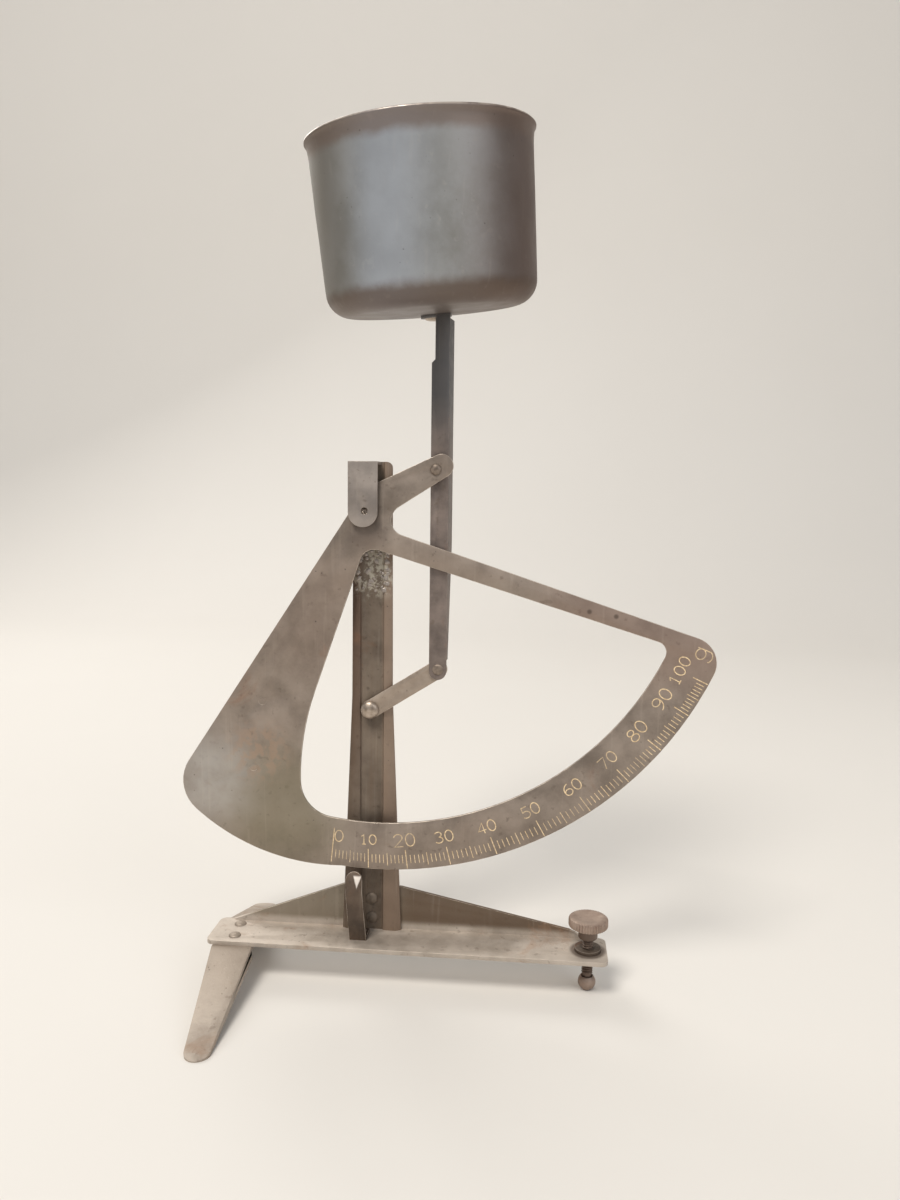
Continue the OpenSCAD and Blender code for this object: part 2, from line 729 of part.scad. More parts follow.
// Stirrup over the column: its front ear carries the front end of the knife edge
module top_strap() {
    under = column_top - strap_t;
    back = web_y + strap_t;
    front_r = strap_w / 2;
    color("rosybrown") place() difference() {
        intersection() {
            side_sheet(-strap_x, strap_w) polygon([
                [ear_y, -ear_drop], [ear_y + strap_t, -ear_drop], [ear_y + strap_t, under],
                [web_y, under], [web_y, back_ear_z], [back, back_ear_z],
                [back, column_top], [ear_y, column_top]
            ]);
            sheet(ear_y - bite, back - ear_y + 2 * bite) polygon(concat(
                [[front_r - strap_x, column_top], [-strap_x - front_r, column_top]],
                arc([-strap_x, front_r - ear_drop], front_r, -90, 90)));
        }
        pin(bearing_p, 2 * bearing_r, ear_y - bite, 0);
        pin(stirrup_rivet_p, rivet_d, web_y - bite, back + bite);
    }
}

module strap_rivet() {
    color("gray") place() cross_rivet(stirrup_rivet_p, rivet_d, groove_y, web_y + strap_t,
                                      rivet_head_d, rivet_head_h, rivet_head_h);
}

module link_stud() {
    color("gainsboro") place() cross_rivet(stud_pin, stud_d, link_y - play / 2, web_y,
                                           stud_head_d, stud_head_h, rivet_head_h);
}

// Spacer that fills the groove under the link's stud
module stud_washer() {
    color("gray") place() washer(stud_pin, column_y, groove_deep, groove_w - 2 * groove_wall, stud_d);
}

// Quadrant

// Places of the flush rivets that hold the counterweight
weight_rivet_places = [
    (weight_in + weight_rivet_in) * ray(-(weight_left_a + weight_top_a) / 2),
    (weight_out - weight_rivet_in) * ray(-(weight_left_a + weight_right_a) / 2)
];
// Middle of the quadrant's swing, where the knife edge hangs straight
swing_mid = 30;
// The knife edge's round middle stands proud of the quadrant and carries a collar behind it
knife_proud = 0.3;
collar_t = 0.8;
collar_d = 4.8;

// Pendulum sheet: lobe, window, scale band, spoke and arm in one stamping
module quadrant_plate() {
    color("slategray") place() difference() {
        sheet(0, plate_t) difference() {
            polygon(joined(plate_outline));
            polygon(joined(window_outline));
        }
        pin(hub, knife_d, -bite, plate_t + bite);
        pin(arm_pin, pivot_d, -bite, plate_t + bite);
        for (p = weight_rivet_places) pin(p, rivet_d, -bite, plate_t + bite);
    }
}

// Round pin whose two ends are ground to an edge that lies on the axis of swing
module knife_edge() {
    back_y = groove_y - 2 * play;
    color("silver") place() {
        pin(hub, knife_d, -knife_proud, back_y);
        pin(hub, collar_d, plate_t, plate_t + collar_t);
        for (ends = [[ear_y, -knife_proud], [back_y, web_y]])
            sheet(ends[0] - play, ends[1] - ends[0] + 2 * play) rotate(swing_mid)
                polygon([[0, 0], [knife_w / 2, knife_h], [-knife_w / 2, knife_h]]);
    }
}

// Weight behind the lobe
module counterweight() {
    color("dimgray") place() difference() {
        sheet(plate_t, weight_t) hull() {
            for (p = [[weight_in, -weight_left_a], [weight_out, -weight_left_a],
                      [weight_out, -weight_right_a], [weight_in, -weight_top_a]])
                translate(p.x * ray(p.y)) circle(weight_corner, $fn = 32);
        }
        for (p = weight_rivet_places) pin(p, rivet_d, 0, plate_t + weight_t + bite);
    }
}

// Rivets filed flush with the quadrant's face
module weight_rivets() {
    color("slategray") place() for (p = weight_rivet_places) {
        pin(p, rivet_d, 0, plate_t + weight_t);
        translate([p.x, plate_t + weight_t, p.y]) rotate([-90, 0, 0]) cap(rivet_head_d, rivet_head_h);
    }
}

// Play beside the rod and the link on their rivets
side_play = play / 2;
upper_back_y = rod_y + rod_t + side_play;
lower_back_y = link_y + link_t + side_play;

module upper_pivot_rivet() {
    color("silver") place() cross_rivet(arm_pin, pivot_d, 0, upper_back_y + washer_t,
                                        pivot_head_d, rivet_head_h, rivet_head_h);
}

// Spacer between arm and rod, and the washer behind the rod
module upper_washers() {
    color("gray") place() {
        washer(arm_pin, plate_t, head_space - play, washer_d, pivot_d);
        washer(arm_pin, upper_back_y, washer_t, washer_d, pivot_d);
    }
}

// Rod and cup

// Rod's round lower end, and the lower end of its turned-back edge
rod_below = 2.8;
flange_low = link_pin.y + link_w / 2 + play;
// Round end of the tab under the cup
tab_d = 7;
rod_top_left = rod_left + rod_step;
rod_top_mid = (rod_top_left + rod_right) / 2;
rod_top = cup_z - rod_t / 2 + (rod_y + rod_t / 2 - cup_y) * sin(cup_tip)
    + (rod_top_mid - cup_x) * sin(cup_lean);

// Frame of the cup: origin under the middle of its bottom, Z along its axis
module at_cup() {
    translate([cup_x, cup_y, cup_z]) rotate([cup_tip, -cup_lean, 0]) children();
}

// Section of the turned-back edge with depth d at height z
function flange_ring(d, z) =
    let (lean = d * tan(rod_splay))
    [[rod_right - rod_t, rod_y, z], [rod_right, rod_y, z],
     [rod_right + lean, rod_y + d, z], [rod_right + lean - rod_t, rod_y + d, z]];

// Upright rod with its right edge turned back and a tab under the cup
module rod() {
    end_c = [(rod_left + rod_right) / 2, link_pin.y - rod_below + rod_w / 2];
    color("slategray") place() difference() {
        union() {
            sheet(rod_y, rod_t) polygon(concat(
                arc(end_c, rod_w / 2, -90, 90),
                [[rod_right, rod_top], [rod_top_left, rod_top],
                 [rod_top_left, rod_step_h + rod_step], [rod_left, rod_step_h]]));
            loft([flange_ring(rod_flange_end, flange_low), flange_ring(rod_flange, rod_taper_h),
                  flange_ring(rod_flange, rod_top - rod_t)]);
            at_cup() translate([0, 0, -rod_t]) {
                cylinder(d = tab_d, h = rod_t);
                translate([rod_top_left - cup_x, rod_y - cup_y, 0])
                    cube([rod_right - rod_top_left, cup_y - rod_y, rod_t]);
            }
        }
        at_cup() translate([0, 0, -rod_t - bite]) cylinder(d = stud_d, h = rod_t + 2 * bite);
        pin(arm_pin, pivot_d + 2 * running, rod_y - bite, rod_y + rod_t + bite);
        pin(link_pin, pivot_d, rod_y - bite, rod_y + rod_t + bite);
    }
}

// Steps round the cup's dome and lip
dome_steps = 5;
lip_steps = 4;
cup_flat_r = cup_foot_r - cup_corner;

// Height of the bottom's dome at radius r
function dome_z(r) = cup_dome * pow(r / cup_flat_r, 2);

// Profile of the cup's skin, t inside its outer face
function cup_skin(t) = concat(
    [for (i = [0:dome_steps]) let (r = cup_flat_r * i / dome_steps) [r, dome_z(r) + t]],
    arc([cup_flat_r, cup_dome + cup_corner], cup_corner - t, narrow_step, 90),
    [for (i = [0:lip_steps]) let (s = i / lip_steps)
        [cup_mouth_r - t + (cup_lip_r - cup_mouth_r) * s * s, cup_h - cup_flare * (1 - s)]]
);

// Spun cup with a domed bottom and a beaded lip
module cup() {
    inside = cup_skin(cup_t);
    color("lightslategray") place() at_cup() difference() {
        rotate_extrude($fn = 96) {
            polygon(concat(cup_skin(0), [for (i = [len(inside) - 1:-1:0]) inside[i]]));
            translate([cup_lip_r - cup_t / 2, cup_h]) circle(bead_r, $fn = 24);
        }
        translate([0, 0, -bite]) cylinder(d = stud_d, h = cup_t + 2 * bite);
    }
}

// Washer on the cup's domed floor
cup_washer_d = 9;
cup_washer_z = cup_t + dome_z(cup_washer_d / 2);

module cup_washer() {
    color("gray") place() at_cup() translate([0, 0, cup_washer_z]) difference() {
        cylinder(d = cup_washer_d, h = washer_t);
        translate([0, 0, -bite]) cylinder(d = stud_d, h = washer_t + 2 * bite);
    }
}

module cup_rivet() {
    color("gainsboro") place() at_cup() translate([0, 0, -rod_t])
        rivet(stud_d, rod_t + cup_washer_z + washer_t, stud_head_d, rivet_head_h, stud_head_h);
}

module lower_link() {
    color("darkgray") place() difference() {
        sheet(link_y, link_t) polygon(concat(
            arc(link_pin, link_w / 2, arm_a, arm_a + 180),
            arc(stud_pin, link_w / 2, arm_a + 180, arm_a + 360)));
        pin(stud_pin, stud_d + 2 * running, link_y - bite, link_y + link_t + bite);
        pin(link_pin, pivot_d + 2 * running, link_y - bite, link_y + link_t + bite);
    }
}

module lower_pivot_rivet() {
    color("silver") place() cross_rivet(link_pin, pivot_d, rod_y, lower_back_y + washer_t,
                                        pivot_head_d, pivot_head_h, rivet_head_h);
}

module lower_washer() {
    color("gray") place() washer(link_pin, lower_back_y, washer_t, washer_d, pivot_d);
}

base_bar();
cross_legs();
base_rivets();
levelling_bush();
levelling_screw();
levelling_foot();
column();
column_rivets();
index_pointer();
index_rivet();
top_strap();
strap_rivet();
quadrant_plate();
knife_edge();
counterweight();
weight_rivets();
upper_pivot_rivet();
upper_washers();
rod();
cup();
cup_rivet();
cup_washer();
lower_link();
lower_pivot_rivet();
lower_washer();
link_stud();
stud_washer();
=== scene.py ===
# Looks of the pendulum balance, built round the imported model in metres.
# Most places are given in millimetres about the knife edge's axis.
import json
import math
import random

import bmesh
import bpy
from mathutils import Matrix, Vector, noise


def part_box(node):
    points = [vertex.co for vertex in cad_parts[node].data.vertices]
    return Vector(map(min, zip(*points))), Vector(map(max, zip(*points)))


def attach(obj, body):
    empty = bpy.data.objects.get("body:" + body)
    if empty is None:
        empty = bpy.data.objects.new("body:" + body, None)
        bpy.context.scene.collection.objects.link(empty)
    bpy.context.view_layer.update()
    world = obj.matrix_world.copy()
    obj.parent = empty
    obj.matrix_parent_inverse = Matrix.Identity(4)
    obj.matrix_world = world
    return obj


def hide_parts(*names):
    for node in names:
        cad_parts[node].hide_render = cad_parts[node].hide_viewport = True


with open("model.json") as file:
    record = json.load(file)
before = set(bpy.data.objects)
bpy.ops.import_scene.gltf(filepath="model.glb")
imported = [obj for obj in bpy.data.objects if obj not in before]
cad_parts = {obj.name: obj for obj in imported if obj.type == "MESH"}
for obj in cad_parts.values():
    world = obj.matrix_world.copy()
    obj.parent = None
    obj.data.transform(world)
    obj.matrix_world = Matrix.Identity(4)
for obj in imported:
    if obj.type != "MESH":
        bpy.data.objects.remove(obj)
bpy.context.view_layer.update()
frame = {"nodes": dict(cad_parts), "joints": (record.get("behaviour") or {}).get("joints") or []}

mm = 0.001
joints = {joint["name"]: joint for joint in frame["joints"]}
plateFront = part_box("quadrant_plate")[0].y
hub = Vector((joints["quadrant_swing"]["pos_m"][0], plateFront, joints["quadrant_swing"]["pos_m"][2]))


def at(x, y, z):   # y counts from the quadrant's front face
    return hub + Vector((x, y, z)) * mm


def tone(red, green, blue, lift=1.39):   # linear colour, lifted by what the stage's light lacks
    return tuple(lift * (c / 12.92 if c <= 0.04045 else ((c + 0.055) / 1.055) ** 2.4)
                 for c in (red / 255, green / 255, blue / 255)) + (1.0,)


def ray(degrees):   # unit vector in the quadrant's plane, counted from straight down towards +X
    return Vector((math.sin(math.radians(degrees)), 0, -math.cos(math.radians(degrees))))


# A socket that adds, subtracts and multiplies like a number
class Wire:
    def __init__(self, paint, socket):
        self.paint = paint
        self.socket = socket

    def __add__(self, other):
        return self.paint.sum("ADD", self, other)

    def __radd__(self, other):
        return self.paint.sum("ADD", other, self)

    def __sub__(self, other):
        return self.paint.sum("SUBTRACT", self, other)

    def __rsub__(self, other):
        return self.paint.sum("SUBTRACT", other, self)

    def __mul__(self, other):
        return self.paint.sum("MULTIPLY", self, other)

    def __rmul__(self, other):
        return self.paint.sum("MULTIPLY", other, self)


# A material's node tree, grown by calls that give back wires
class Paint:
    def __init__(self, name):
        self.material = bpy.data.materials.new(name)
        self.material.use_nodes = True
        self.tree = self.material.node_tree
        self.tree.nodes.clear()
        self.place = self.add("ShaderNodeTexCoord", out="Object")

    def add(self, kind, settings=None, inputs=None, out=0):
        node = self.tree.nodes.new(kind)
        for key, value in (settings or {}).items():
            setattr(node, key, value)
        for key, value in (inputs or {}).items():
            if isinstance(value, Wire):
                self.tree.links.new(value.socket, node.inputs[key])
            else:
                node.inputs[key].default_value = value
        return Wire(self, node.outputs[out]) if len(node.outputs) else None

    def sum(self, operation, left, right):
        return self.add("ShaderNodeMath", {"operation": operation}, {0: left, 1: right})

    def noise(self, size, detail=4, rough=0.55, stretch=None, turn=0, twist=0.0):   # size in millimetres
        place = self.place
        if stretch:
            place = self.add("ShaderNodeMapping", inputs={
                "Vector": place, "Rotation": (0, math.radians(turn), 0), "Scale": stretch})
        return self.add("ShaderNodeTexNoise", inputs={
            "Vector": place, "Scale": 1000 / size, "Detail": detail, "Roughness": rough,
            "Distortion": twist})

    def spots(self, size):   # distance to the nearest of scattered points
        return self.add("ShaderNodeTexVoronoi", inputs={
            "Vector": self.place, "Scale": 1000 / size, "Randomness": 1.0})

    def step(self, value, low, high):   # 0 below low and 1 above high, or the reverse
        return self.add("ShaderNodeMapRange", {"interpolation_type": "SMOOTHSTEP"}, {
            "Value": value, "From Min": low, "From Max": high})

    def near(self, point, inner, outer):   # 1 within inner millimetres of a point, 0 beyond outer
        gap = self.vector("DISTANCE", point)
        return self.step(gap, outer * mm, inner * mm)

    def vector(self, operation, point):
        return self.add("ShaderNodeVectorMath", {"operation": operation},
                        {0: self.place, 1: point}, "Value")

    def mix(self, share, first, second):
        return self.add("ShaderNodeMix", {"data_type": "RGBA"}, {0: share, 6: first, 7: second}, 2)

    def height(self):
        return self.add("ShaderNodeSeparateXYZ", inputs={0: self.place}, out="Z")

    def across(self):
        return self.add("ShaderNodeSeparateXYZ", inputs={0: self.place}, out="X")

    def ramp(self, start, end):   # 0 at the X of start and 1 at the X of end, in millimetres
        return self.step(self.across(), at(start, 0, 0).x, at(end, 0, 0).x)

    def climb(self, start, end):   # the same along Z
        return self.step(self.height(), at(0, 0, start).z, at(0, 0, end).z)

    def worn(self):   # 1 on the faces that a bevel made
        return self.add("ShaderNodeAttribute", {"attribute_name": "wear"}, out="Fac")

    def shade(self, colour, roughness, metallic, relief, depth):
        normal = self.add("ShaderNodeBump", inputs={
            "Strength": 1.0, "Distance": depth * mm, "Height": relief})
        skin = self.add("ShaderNodeBsdfPrincipled", inputs={
            "Base Color": colour, "Roughness": roughness, "Metallic": metallic, "Normal": normal})
        self.add("ShaderNodeOutputMaterial", inputs={"Surface": skin})
        return self.material


# Old steel: blotches from dark to pale, freckles, rust in patches, pits, and edges rubbed bare
def oldSteel(name, look, extra=None):
    paint = Paint(name)
    blotch = paint.step(paint.noise(look["blotch"], 5, 0.6, twist=0.4), 0.36, 0.66)
    cloud = paint.step(paint.noise(look["blotch"] * 0.28, 6, 0.65), 0.3, 0.72)
    grain = paint.noise(look["grain"], 4, 0.6)
    freckle = paint.step(paint.noise(look["grain"] * 2.2, 3, 0.5), 0.62, 0.72)
    stain = paint.noise(look["blotch"] * 0.6, 8, 0.68, twist=0.8)
    rust = paint.step(stain, look["rustFrom"], look["rustFrom"] + 0.13)
    pitted = paint.step(paint.noise(7, 4), 0.5, 0.62)
    pit = paint.step(paint.spots(look["pit"]) + 0.25 * paint.noise(0.5, 3), 0.26, 0.14) * pitted
    line = paint.noise(look["grain"] * 1.5, 2, 0.5, (1, 1, 0.04), look["brush"])
    scratch = paint.step(line, 0.6, 0.72)
    colour = paint.mix(blotch * 0.85 + cloud * 0.15, look["dark"], look["mid"])
    colour = paint.mix(cloud * 0.55, colour, look["pale"])
    colour = paint.mix(freckle * 0.5, colour, look["fleck"])
    if extra:
        colour = extra(paint, colour)
    colour = paint.mix(rust * look["rustShare"], colour, look["rust"])
    colour = paint.mix(pit * 0.7, colour, look["hole"])
    colour = paint.mix(scratch * look["scratch"], colour, look["bare"])
    rub = paint.worn() * paint.step(paint.noise(3.2, 4), 0.3, 0.62)
    colour = paint.mix(rub * look["rub"], colour, look["bare"])
    roughness = look["rough"] + 0.16 * (cloud - 0.5) + 0.22 * rust - 0.14 * rub
    metallic = look["metal"] * (1 - 0.75 * rust * look["rustShare"])
    relief = 0.55 * grain + 0.5 * rust * cloud - 0.9 * pit + 0.25 * freckle - 0.2 * scratch
    return paint.shade(colour, roughness, metallic, relief, look["relief"])


# Turns a bmesh into a named piece that rides on a body
def asPiece(bm, name, body, material, stands=(), angle=38):
    mesh = bpy.data.meshes.new(name)
    bm.to_mesh(mesh)
    bm.free()
    for face in mesh.polygons:
        face.use_smooth = True
    mesh.set_sharp_from_angle(angle=math.radians(angle))
    piece = bpy.data.objects.new(name, mesh)
    bpy.context.scene.collection.objects.link(piece)
    mesh.materials.append(material)
    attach(piece, body)
    if stands:
        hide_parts(*stands)
    return piece


# Rounds the sharp edges and marks the new faces as worn
def softEdges(bm, width, segments, sharper=28):
    wear = bm.faces.layers.float.new("wear")
    edges = [edge for edge in bm.edges if len(edge.link_faces) == 2
             and edge.calc_face_angle() > math.radians(sharper)]
    made = bmesh.ops.bevel(bm, geom=edges, offset=width * mm, offset_type="OFFSET", affect="EDGES",
                           segments=segments, profile=0.5, material=-1, clamp_overlap=True)
    for face in made["faces"]:
        face[wear] = 1.0


weldGap = 2e-6   # metres
flatTurn = 0.6   # degrees between triangles that count as one flat face


def merged(node):   # a copy of a CAD node's mesh with its triangles joined
    bm = bmesh.new()
    bm.from_mesh(frame["nodes"][node].data)
    bmesh.ops.remove_doubles(bm, verts=bm.verts, dist=weldGap)
    bmesh.ops.dissolve_limit(bm, angle_limit=math.radians(flatTurn), verts=bm.verts, edges=bm.edges)
    return bm


def spun(profile, steps, matrix):   # (radius, height) points in millimetres, turned about the local Z
    bm = bmesh.new()
    points = [bm.verts.new((radius * mm, 0, height * mm)) for radius, height in profile]
    edges = [bm.edges.new(pair) for pair in zip(points, points[1:])]
    bmesh.ops.spin(bm, geom=points + edges, cent=(0, 0, 0), axis=(0, 0, 1), angle=2 * math.pi,
                   steps=steps, use_merge=True)
    bmesh.ops.remove_doubles(bm, verts=bm.verts, dist=1e-6)
    bmesh.ops.recalc_face_normals(bm, faces=bm.faces)
    bmesh.ops.transform(bm, matrix=matrix, verts=bm.verts)
    return bm


def join(bm, other):
    mesh = bpy.data.meshes.new("part")
    other.to_mesh(mesh)
    other.free()
    bm.from_mesh(mesh)
    bpy.data.meshes.remove(mesh)


def gathered(parts):   # several as one; one alone stays as it is
    if len(parts) == 1:
        return parts[0]
    bm = bmesh.new()
    for part in parts:
        join(bm, part)
    return bm


def dome(radius, height, steps=7):   # (radius, height) points from the axis down to the rim
    turns = [math.radians(90 * i / steps) for i in range(steps + 1)]
    return [(radius * math.sin(turn), height * math.cos(turn)) for turn in turns]


facingBack = Matrix.Rotation(math.radians(-90), 4, "X")   # local Z to +Y


# Looks: each starts from another one and names only what differs
bareSteel = tone(190, 178, 164)
sheetLook = {
    "blotch": 34, "grain": 0.9, "pit": 1.9, "brush": 20,
    "dark": tone(104, 94, 85), "mid": tone(131, 118, 107), "pale": tone(151, 139, 128),
    "fleck": tone(96, 84, 74), "rust": tone(120, 86, 62), "hole": tone(62, 54, 47), "bare": bareSteel,
    "rustFrom": 0.6, "rustShare": 0.45, "rub": 0.8, "rough": 0.5, "metal": 0.55, "relief": 0.06,
    "scratch": 0.06,
}
darkLook = dict(sheetLook, dark=tone(74, 64, 55), mid=tone(102, 90, 78), pale=tone(124, 112, 99),
                fleck=tone(66, 56, 47), rust=tone(108, 76, 54), rustFrom=0.56, rustShare=0.5,
                metal=0.45, rough=0.55, relief=0.09, rub=0.6)
indexLook = dict(darkLook, dark=tone(58, 48, 40), mid=tone(80, 66, 55), pale=tone(100, 86, 73))
# The bush sits in the knob's shadow: painted shade, with little rub on its edges
bushLook = dict(darkLook, dark=tone(58, 49, 42), mid=tone(74, 63, 54), pale=tone(92, 80, 69), rub=0.15)
# The bar and legs take the stand's dark steel lightened: painted light for the lamp on their upward faces
barLook = dict(darkLook, blotch=26, dark=tone(142, 132, 121), mid=tone(164, 154, 143),
               pale=tone(182, 172, 161), fleck=tone(116, 104, 93), rust=tone(136, 106, 82),
               rustShare=0.4, relief=0.14)
legLook = dict(barLook, dark=tone(132, 121, 110), mid=tone(158, 147, 135), pale=tone(182, 171, 159),
               fleck=tone(112, 99, 88))
linkLook = dict(sheetLook, dark=tone(126, 113, 101), mid=tone(152, 138, 125), pale=tone(170, 157, 144))
strapLook = dict(sheetLook, dark=tone(122, 114, 108), mid=tone(142, 134, 127), pale=tone(160, 150, 142),
                 metal=0.6, rustFrom=0.62, rough=0.44)
rodLook = dict(sheetLook, blotch=18, dark=tone(88, 79, 74), mid=tone(112, 101, 95),
               pale=tone(132, 119, 111), rub=0.7)
cupLook = dict(sheetLook, blotch=46, grain=1.1, dark=tone(112, 111, 107), mid=tone(128, 128, 127),
               pale=tone(142, 144, 146), fleck=tone(136, 134, 130), rust=tone(116, 96, 78), rustFrom=0.64,
               rustShare=0.3, metal=0.45, rough=0.47, relief=0.03, rub=0.5, scratch=0.03)
rivetLook = dict(sheetLook, blotch=5, dark=tone(122, 109, 97), mid=tone(154, 140, 127),
                 pale=tone(182, 170, 157), rustFrom=0.6, rustShare=0.5, metal=0.75, rough=0.4, relief=0.05)
pivotLook = dict(rivetLook, dark=tone(94, 83, 74), mid=tone(118, 105, 94), pale=tone(150, 137, 124),
                 metal=0.6, rough=0.5)
knobLook = dict(rivetLook, blotch=9, dark=tone(112, 94, 83), mid=tone(136, 118, 106),
                pale=tone(158, 141, 128), metal=0.5, rough=0.5)
weightLook = dict(darkLook, dark=tone(70, 68, 64), mid=tone(92, 88, 82), pale=tone(110, 104, 96))

cupForm = {   # millimetres and degrees; the dent, ripple and sway are hand wear
    "centre": (17.3, 4.9, 52.2), "lean": 4.6, "tip": 7.1,
    "footR": 27.6, "mouthR": 28.5, "lipR": 29.1, "height": 42.9, "corner": 6.0, "dome": 0.8,
    "flare": 5, "wall": 0.5, "bead": 0.55, "hole": 1.2, "steps": 144, "trueR": 20,
    "dent": 0.22, "dentLumps": 55, "ripple": 0.05, "rippleLumps": 160, "sway": 0.15, "swayLumps": 40,
}
cupFrame = (Matrix.Translation(at(*cupForm["centre"]))
            @ Matrix.Rotation(math.radians(-cupForm["lean"]), 4, "Y")
            @ Matrix.Rotation(math.radians(cupForm["tip"]), 4, "X"))


# Rubbed lobe with an olive foot, brown neck, and the shade under the stirrup
def quadrantTints(paint, colour):
    cloud = paint.step(paint.noise(13, 5, 0.6), 0.3, 0.6)
    polished = paint.near(at(-44, 0, -74), 3, 20) * (0.5 + 0.5 * cloud)
    olive = paint.near(at(-24, 0, -82), 6, 26)
    brown = paint.near(at(-10, 0, -30), 5, 26)
    smudge = paint.near(at(-30, 0, -66), 3, 12) * paint.step(paint.noise(2.2, 3), 0.42, 0.6)
    shade = paint.near(at(0, 0, -4.5), 3, 7)
    colour = paint.mix(olive * 0.5, colour, tone(112, 106, 84))
    colour = paint.mix(brown * 0.3, colour, tone(124, 106, 94))
    colour = paint.mix(polished * 0.72, colour, tone(160, 156, 151))
    colour = paint.mix(smudge * 0.45, colour, tone(150, 124, 104))
    colour = paint.mix(shade * 0.5, colour, tone(84, 72, 64))
    far = paint.ramp(38, 62) * paint.climb(-52, -34)
    colour = paint.mix(far * 0.4, colour, tone(116, 92, 80))
    for spot in ((59.7, 0, -24.7), (66.7, 0, -25.8)):   # two stains on the spoke
        colour = paint.mix(paint.near(at(*spot), 0.3, 0.9) * 0.75, colour, tone(70, 58, 50))
    return colour


cupBands = {"wander": 0.003, "low": (0.0078, 0.0045), "lip": (0.0372, 0.0402)}   # metres up the cup


# Brown bands under the lip and round the bottom, painted shade browning and darkening both sides, and a
# painted bluish highlight down the middle
def cupTints(paint, colour):
    axis = cupFrame.to_3x3() @ Vector((0, 0, 1))
    base, wander = cupFrame.translation.dot(axis), cupBands["wander"]
    high = paint.vector("DOT_PRODUCT", axis) - base + wander * paint.noise(6, 5) - wander / 2
    low = paint.step(high, *cupBands["low"])
    lip = paint.step(high, *cupBands["lip"])
    # Painted shade down the right and the left side of the cup
    sideShadeRight = paint.ramp(20, 44)
    sideShadeLeft = paint.ramp(4, -9)
    colour = paint.mix(sideShadeRight * 0.9, colour, tone(82, 64, 55))
    # Painted bluish highlight down the middle of the cup
    middleHighlight = paint.ramp(-3, 7) * paint.ramp(24, 10)
    colour = paint.mix(sideShadeLeft * 0.75, colour, tone(94, 88, 78))
    colour = paint.mix(middleHighlight * 0.5, colour, tone(146, 153, 164))
    colour = paint.mix(low * 0.8, colour, tone(80, 64, 53))
    return paint.mix(lip * 0.7, colour, tone(98, 82, 72))


def rodTints(paint, colour):   # bluish grey towards the cup
    return paint.mix(paint.climb(14, 34) * 0.8, colour, tone(84, 85, 86))


def columnTints(paint, colour):   # pale crust of old corrosion near the top, brown runs below
    crust = paint.near(at(1.5, 3, -15), 4, 10) * paint.step(paint.noise(2.6, 5, 0.7), 0.46, 0.58)
    run = paint.step(paint.noise(2, 4, 0.6, (1, 1, 0.06)), 0.5, 0.72)
    right = paint.ramp(3.5, 5)
    # Painted shadow of the quadrant on the column: darker on the left, more towards the top
    left = paint.ramp(-1, -2.4)
    colour = paint.mix(run * 0.35, colour, tone(96, 78, 62))
    colour = paint.mix(right * 0.5, colour, tone(138, 118, 102))
    colour = paint.mix(left * (0.2 + 0.5 * paint.climb(-80, -50)), colour, tone(82, 63, 51))
    return paint.mix(crust * 0.75, colour, tone(170, 164, 150))


def barTints(paint, colour):   # painted shade on the olive brown web, painted shadow of the column on the web's right, and painted shadow of the knob round the screw
    # Painted shade on the upright web, deeper on its right where the column's shadow falls
    web = paint.climb(-116.6, -114.5)
    right = web * paint.ramp(2, 14)
    # Painted shadow of the knob's head on the bar round the screw
    paintedKnobShadow = paint.near(at(61.8, -1.6, -117.4), 4.2, 5.4)
    colour = paint.mix(web * 0.76, colour, tone(102, 92, 76))
    colour = paint.mix(paintedKnobShadow * 0.75, colour, tone(76, 61, 51))
    return paint.mix(right * 0.7, colour, tone(80, 61, 46))


def legTints(paint, colour):   # browner near the bar
    return paint.mix(paint.climb(-126, -119.5) * 0.6, colour, tone(120, 108, 96))


def knobTints(paint, colour):   # darker below the head, on the collar and the thread: painted shade under the knob's head
    return paint.mix(paint.climb(-110.5, -110.9) * 0.7, colour, tone(74, 60, 50))


def indexTints(paint, colour):   # a bright three-cornered mark in the leaning end, its point down: bare metal with a painted highlight
    high = 1000 * (paint.height() - at(0, 0, -102.6).z)
    side = paint.sum("ABSOLUTE", 1000 * (paint.across() - at(-1.75, 0, 0).x), 0)
    inside = 0.38 * high - side + 0.3 * paint.noise(1.2, 3) - 0.15
    # Bare metal with a painted highlight on the leaning end
    nickAndHighlight = paint.step(inside, -0.2, 0.2) * paint.step(high, 3.2, 2.6)
    return paint.mix(nickAndHighlight * 0.88, colour, tone(206, 198, 189))


finish = {
    "quadrant": oldSteel("wornQuadrant", sheetLook, quadrantTints),
    "dark": oldSteel("darkStand", darkLook),
    "bar": oldSteel("paintedLitBar", barLook, barTints),
    "legs": oldSteel("paintedLitLegs", legLook, legTints),
    "column": oldSteel("darkColumn", darkLook, columnTints),
    "index": oldSteel("darkStrip", indexLook, indexTints),
    "bush": oldSteel("paintedShadeBush", bushLook),
    "link": oldSteel("paleLink", linkLook),
    "strap": oldSteel("greyStrap", strapLook),
    "rod": oldSteel("greyRod", rodLook, rodTints),
    "cup": oldSteel("dullCup", cupLook, cupTints),
    "rivet": oldSteel("rubbedRivet", rivetLook),
    "pivot": oldSteel("dullPivot", pivotLook),
    "knob": oldSteel("brownKnob", knobLook, knobTints),
    "foot": oldSteel("rubbedFoot", knobLook),
    "weight": oldSteel("castWeight", weightLook),
}


def scalePaint():   # cream filling of the marks, lost in places
    paint = Paint("scaleFilling")
    lost = paint.step(paint.noise(9, 4, 0.6), 0.48, 0.66)
    crumb = paint.step(paint.noise(0.7, 3), 0.42, 0.6)
    colour = paint.mix(crumb * 0.6, tone(208, 186, 150), tone(158, 132, 100))
    colour = paint.mix(lost * 0.6, colour, tone(138, 123, 106))
    return paint.shade(colour, 0.5 + 0.15 * crumb, 0.2 - 0.1 * lost, crumb, 0.02)


finish["scale"] = scalePaint()
print("finishes made:", len(finish))


